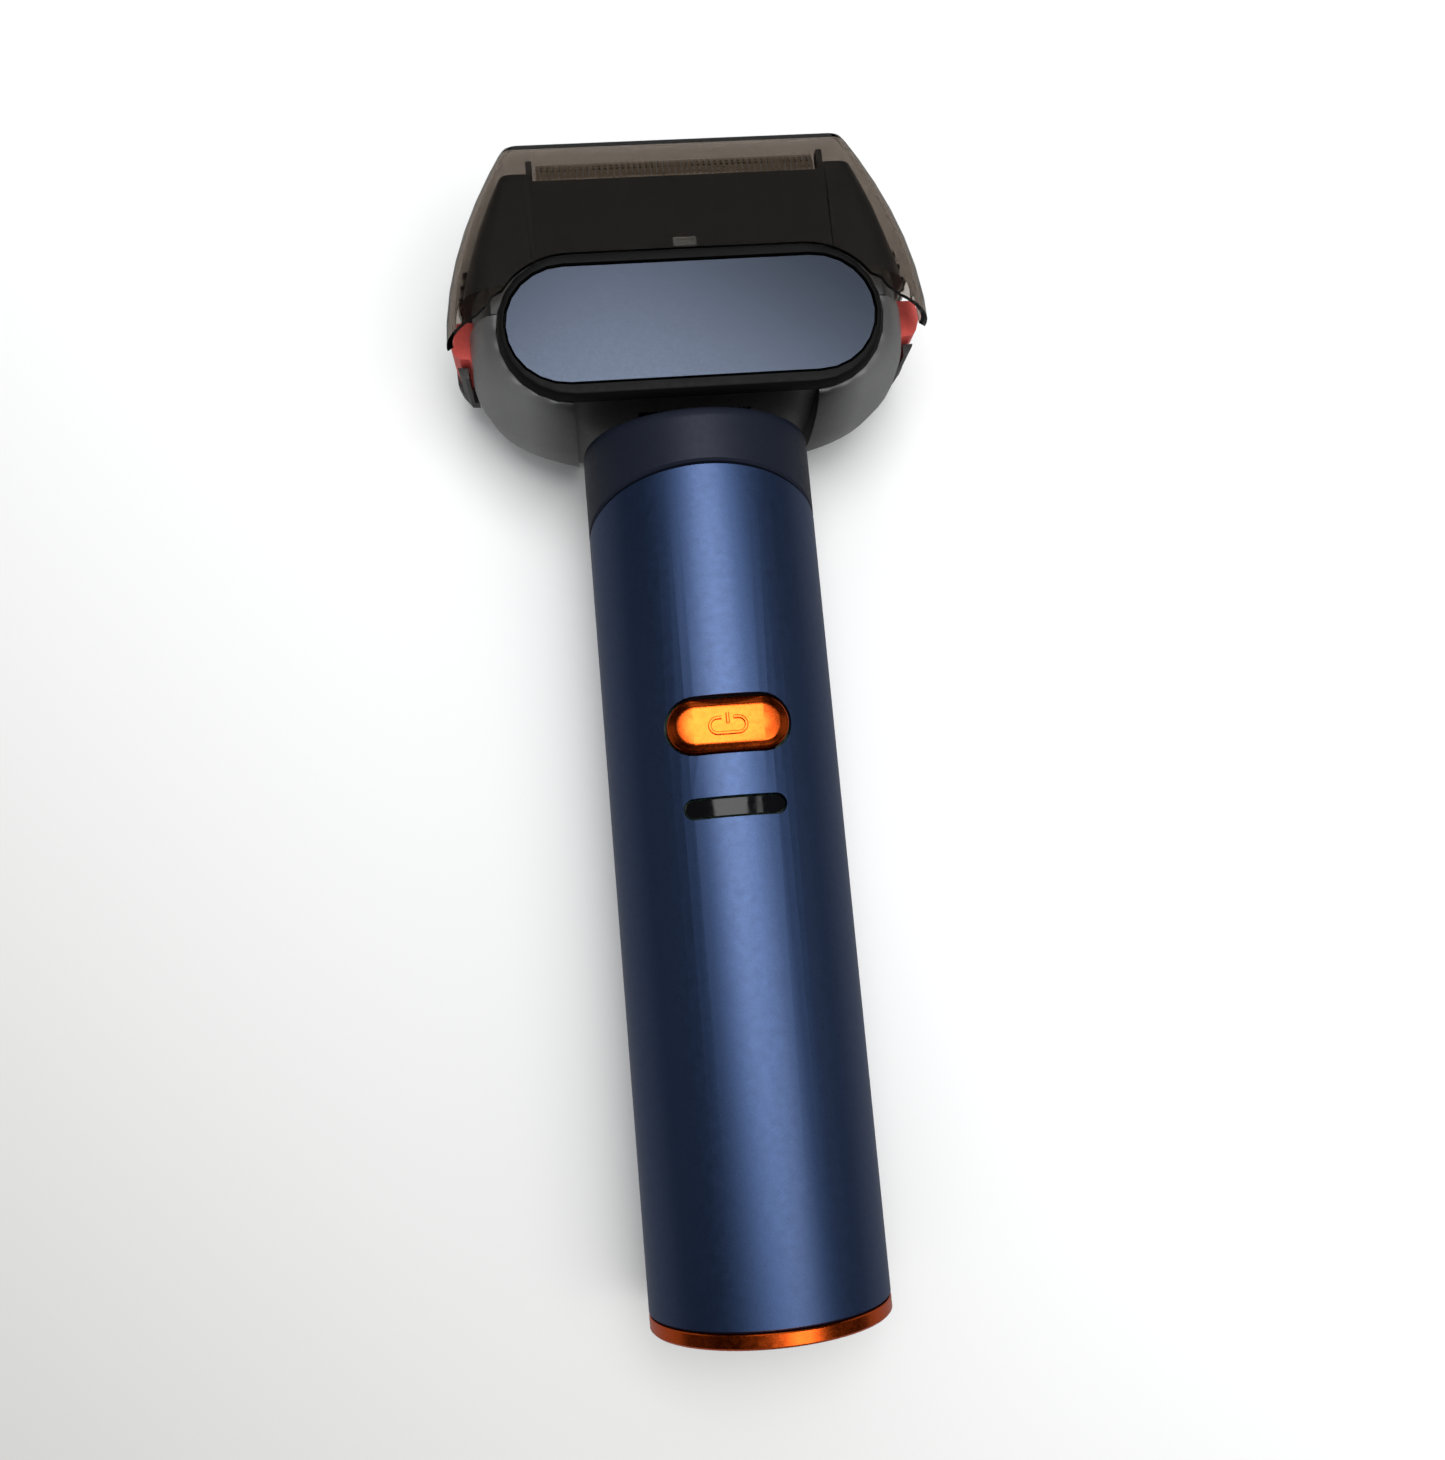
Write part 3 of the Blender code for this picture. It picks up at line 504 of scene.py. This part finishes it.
def stadium(size, centre, inset, steps):
    """Outline of a slot with round ends, long way along x, with its steps round each end."""
    radius = size[1] / 2 - inset
    reach = (size[0] - size[1]) / 2
    points = []
    for side, start in ((1, -90), (-1, 90)):
        for i in range(steps + 1):
            angle = math.radians(start + 180.0 * i / steps)
            points.append((centre[0] + side * reach + radius * math.cos(angle),
                           centre[1] + radius * math.sin(angle)))
    return points


def on_button(x, y, out=0.0):
    """Point on the button's gently curved face, or above it."""
    return (x, y, BUTTON_TOP - BUTTON_R + math.sqrt(BUTTON_R ** 2 - x ** 2) + out)


def tube_along(body, points, radius, flatness=1.0, ring=8):
    """Thin wire through points, with its ends filled. Its height is a share of its width."""
    rings = []
    for i, point in enumerate(points):
        here = Vector(point)
        before = Vector(points[max(i - 1, 0)])
        after = Vector(points[min(i + 1, len(points) - 1)])
        along = (after - before).normalized()
        side = along.cross(Vector((0.0, 0.0, 1.0))).normalized()
        up = side.cross(along)
        turns = [math.tau * k / ring for k in range(ring)]
        rise = up * radius * flatness
        rings.append([here + side * radius * math.cos(t) + rise * math.sin(t) for t in turns])
    add_loft(body, rings)


def power_button(finishes):
    """Polished button with a wide rolled edge, curved with the handle."""
    body = bmesh.new()
    centre = (0.0, BUTTON_Y)
    foot = stadium(BUTTON_SIZE, centre, 0.0, BUTTON_STEPS)
    rings = [[(x, y, BUTTON_BASE_Z) for x, y in foot]]
    for inset, drop in BUTTON_EDGE:
        outline = stadium(BUTTON_SIZE, centre, inset, BUTTON_STEPS)
        rings.append([on_button(x, y, -drop) for x, y in outline])
    add_loft(body, rings)
    finish_piece("power_button_cap", body, "power_button", "copper_gloss", finishes["copper_gloss"],
                 "power_button")


def power_symbol(finishes):
    """Raised on-off sign: an open slot-shaped loop with an upright bar in its gap."""
    body = bmesh.new()
    x_mid = SIGN_SHIFT[0]
    y_mid = BUTTON_Y + SIGN_SHIFT[1]
    y_top = y_mid + SIGN_SIZE[1] / 2
    loop = stadium(SIGN_SIZE, (x_mid, y_mid), 0.0, SIGN_STEPS)
    right = [(x_mid + SIGN_HALF_GAP, y_top)]
    left = [(x_mid - SIGN_HALF_GAP, y_top)]
    start = len(loop) // 2
    path = left + loop[start:] + loop[:start] + right
    bar = [(x_mid, y_mid + SIGN_BAR_START), (x_mid, y_top + SIGN_BAR_RISE)]
    for line in (path, bar):
        tube_along(body, [on_button(x, y) for x, y in line], SIGN_R, SIGN_FLATNESS)
    finish_piece("power_symbol", body, "power_button", "copper_gloss", finishes["copper_gloss"])


def foil_ribs(finishes):
    """Fine upright ribs that stiffen each foil, wrapped over its arch."""
    for name, side in (("front", 1), ("rear", -1)):
        body = bmesh.new()
        low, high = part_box(f"foil_{name}")
        half = high[0] / MM - RIB_MARGIN
        top = high[1] / MM + LENGTH / 2
        radius = (high[2] - low[2]) / 2 / MM
        middle = (high[2] + low[2]) / 2 / MM - HANDLE_R
        count = int(2 * half / RIB_PITCH)
        for i in range(count + 1):
            x = -half + 2 * half * i / count
            rings = []
            for angle in RIB_ANGLES:
                turn = math.radians(angle)
                ring = []
                for dx, out in RIB_SECTION:
                    reach = radius + out
                    ring.append((x + dx, top - radius + reach * math.sin(turn),
                                 middle + side * reach * math.cos(turn)))
                rings.append(ring)
            add_loft(body, rings)
        finish_piece(f"foil_ribs_{name}", body, "cassette", "steel", finishes["steel"])


def cap_grip_lines(finishes):
    """Short raised grip lines on the cap's front, above the bezel."""
    body = bmesh.new()
    for i in range(GRIP_COUNT):
        y = GRIP_Y + GRIP_PITCH * i
        z = GRIP_Z - GRIP_DROP * i
        tube_along(body, [(x, y, z) for x in GRIP_PLACES], GRIP_R)
    finish_piece("cap_grip_lines", body, "cap", "smoky_clear", finishes["smoky_clear"])


# ------------------------------------------------------- floor, light, camera

def floor_material():
    """Pale floor with painted shade that dims it toward one corner, and pale again far out."""
    finish = Finish("floor_white", (0.86, 0.86, 0.85), 0.55)
    corner = finish.nodes.new("ShaderNodeVectorMath")
    corner.operation = "DOT_PRODUCT"
    corner.inputs[1].default_value = (1.0, 1.0, 0.0)
    finish.links.new(finish.coords, corner.inputs[0])
    # painted shade: the floor's colour dims toward one corner, as a light's falloff would
    share = finish.remap(corner.outputs["Value"], (-FLOOR_RANGE, FLOOR_RANGE), (0.0, 1.0))
    stops = (((at + FLOOR_RANGE) / (2 * FLOOR_RANGE), colour) for at, colour in FLOOR_PAINTED_SHADING)
    finish.links.new(finish.ramp(share, *stops), finish.shader.inputs["Base Color"])
    return finish.material


def flat_square(name, side, depth, material):
    """Level square centred below the shaver."""
    bpy.ops.mesh.primitive_plane_add(size=side, location=(0.0, 0.0, -depth))
    square = bpy.context.object
    square.name = name
    square.data.materials.append(material)
    return square


def stage():
    """Floor for the camera, and a faintly glowing card that lights the reflections from below."""
    floor = flat_square("floor", FLOOR_SIDE, FLOOR_DEPTH, floor_material())
    floor.visible_glossy = False
    glow = Finish("floor_glow", (0.80, 0.80, 0.79), 0.55, 0.0, Emission_Color=(1.0, 1.0, 1.0, 1.0),
                  Emission_Strength=CARD_GLOW)
    card = flat_square("floor_card", CARD_SIDE, CARD_DEPTH, glow.material)
    card.visible_camera = False
    card.visible_diffuse = False
    card.visible_shadow = False


def area_light(name, place, size, power):
    """Softbox that faces straight down until it is turned, and doesn't show itself."""
    data = bpy.data.lights.new(name, "AREA")
    data.shape = "RECTANGLE"
    data.size, data.size_y = size
    data.energy = power
    lamp = bpy.data.objects.new(name, data)
    lamp.location = place
    lamp.visible_camera = False
    bpy.context.scene.collection.objects.link(lamp)
    return lamp


def sky():
    """World that is grey at the horizon and pale above, and that reflections don't see."""
    world = bpy.data.worlds.new("studio")
    bpy.context.scene.world = world
    world.use_nodes = True
    nodes = world.node_tree.nodes
    links = world.node_tree.links
    background = nodes["Background"]
    split = nodes.new("ShaderNodeSeparateXYZ")
    links.new(nodes.new("ShaderNodeTexCoord").outputs["Generated"], split.inputs["Vector"])
    shades = nodes.new("ShaderNodeValToRGB")
    set_stops(shades, SKY_STOPS)
    links.new(split.outputs["Z"], shades.inputs["Fac"])
    links.new(shades.outputs["Color"], background.inputs["Color"])
    background.inputs["Strength"].default_value = SKY_STRENGTH
    world.cycles_visibility.glossy = False


def light():
    """Sky, the softboxes overhead and the weak ones around the shaver."""
    sky()
    bpy.context.scene.view_settings.view_transform = "Standard"
    for name, place, size, power, turn in KEYS:
        key = area_light(f"key_{name}", place, size, power)
        key.rotation_euler = (0.0, 0.0, math.radians(turn))
    for name, place, power in FILLS:
        fill = area_light(f"fill_{name}", place, FILL_SIZE, power)
        fill.rotation_euler = Vector(place).to_track_quat("Z", "Y").to_euler()


def camera():
    """Camera at its fixed place over the shaver."""
    data = bpy.data.cameras.new("camera")
    data.lens = LENS_MM
    data.sensor_width = SENSOR_MM
    data.clip_start = CLIP_START
    made = bpy.data.objects.new("camera", data)
    turn = Matrix((CAMERA_RIGHT, CAMERA_UP, CAMERA_BACK)).transposed().to_4x4()
    made.matrix_world = Matrix.Translation(CAMERA_PLACE) @ turn
    bpy.context.scene.collection.objects.link(made)
    bpy.context.scene.camera = made


camera()
light()
stage()
finishes = dress_nodes()
smooth_nodes()
power_button(finishes)
power_symbol(finishes)
foil_ribs(finishes)
cap_grip_lines(finishes)
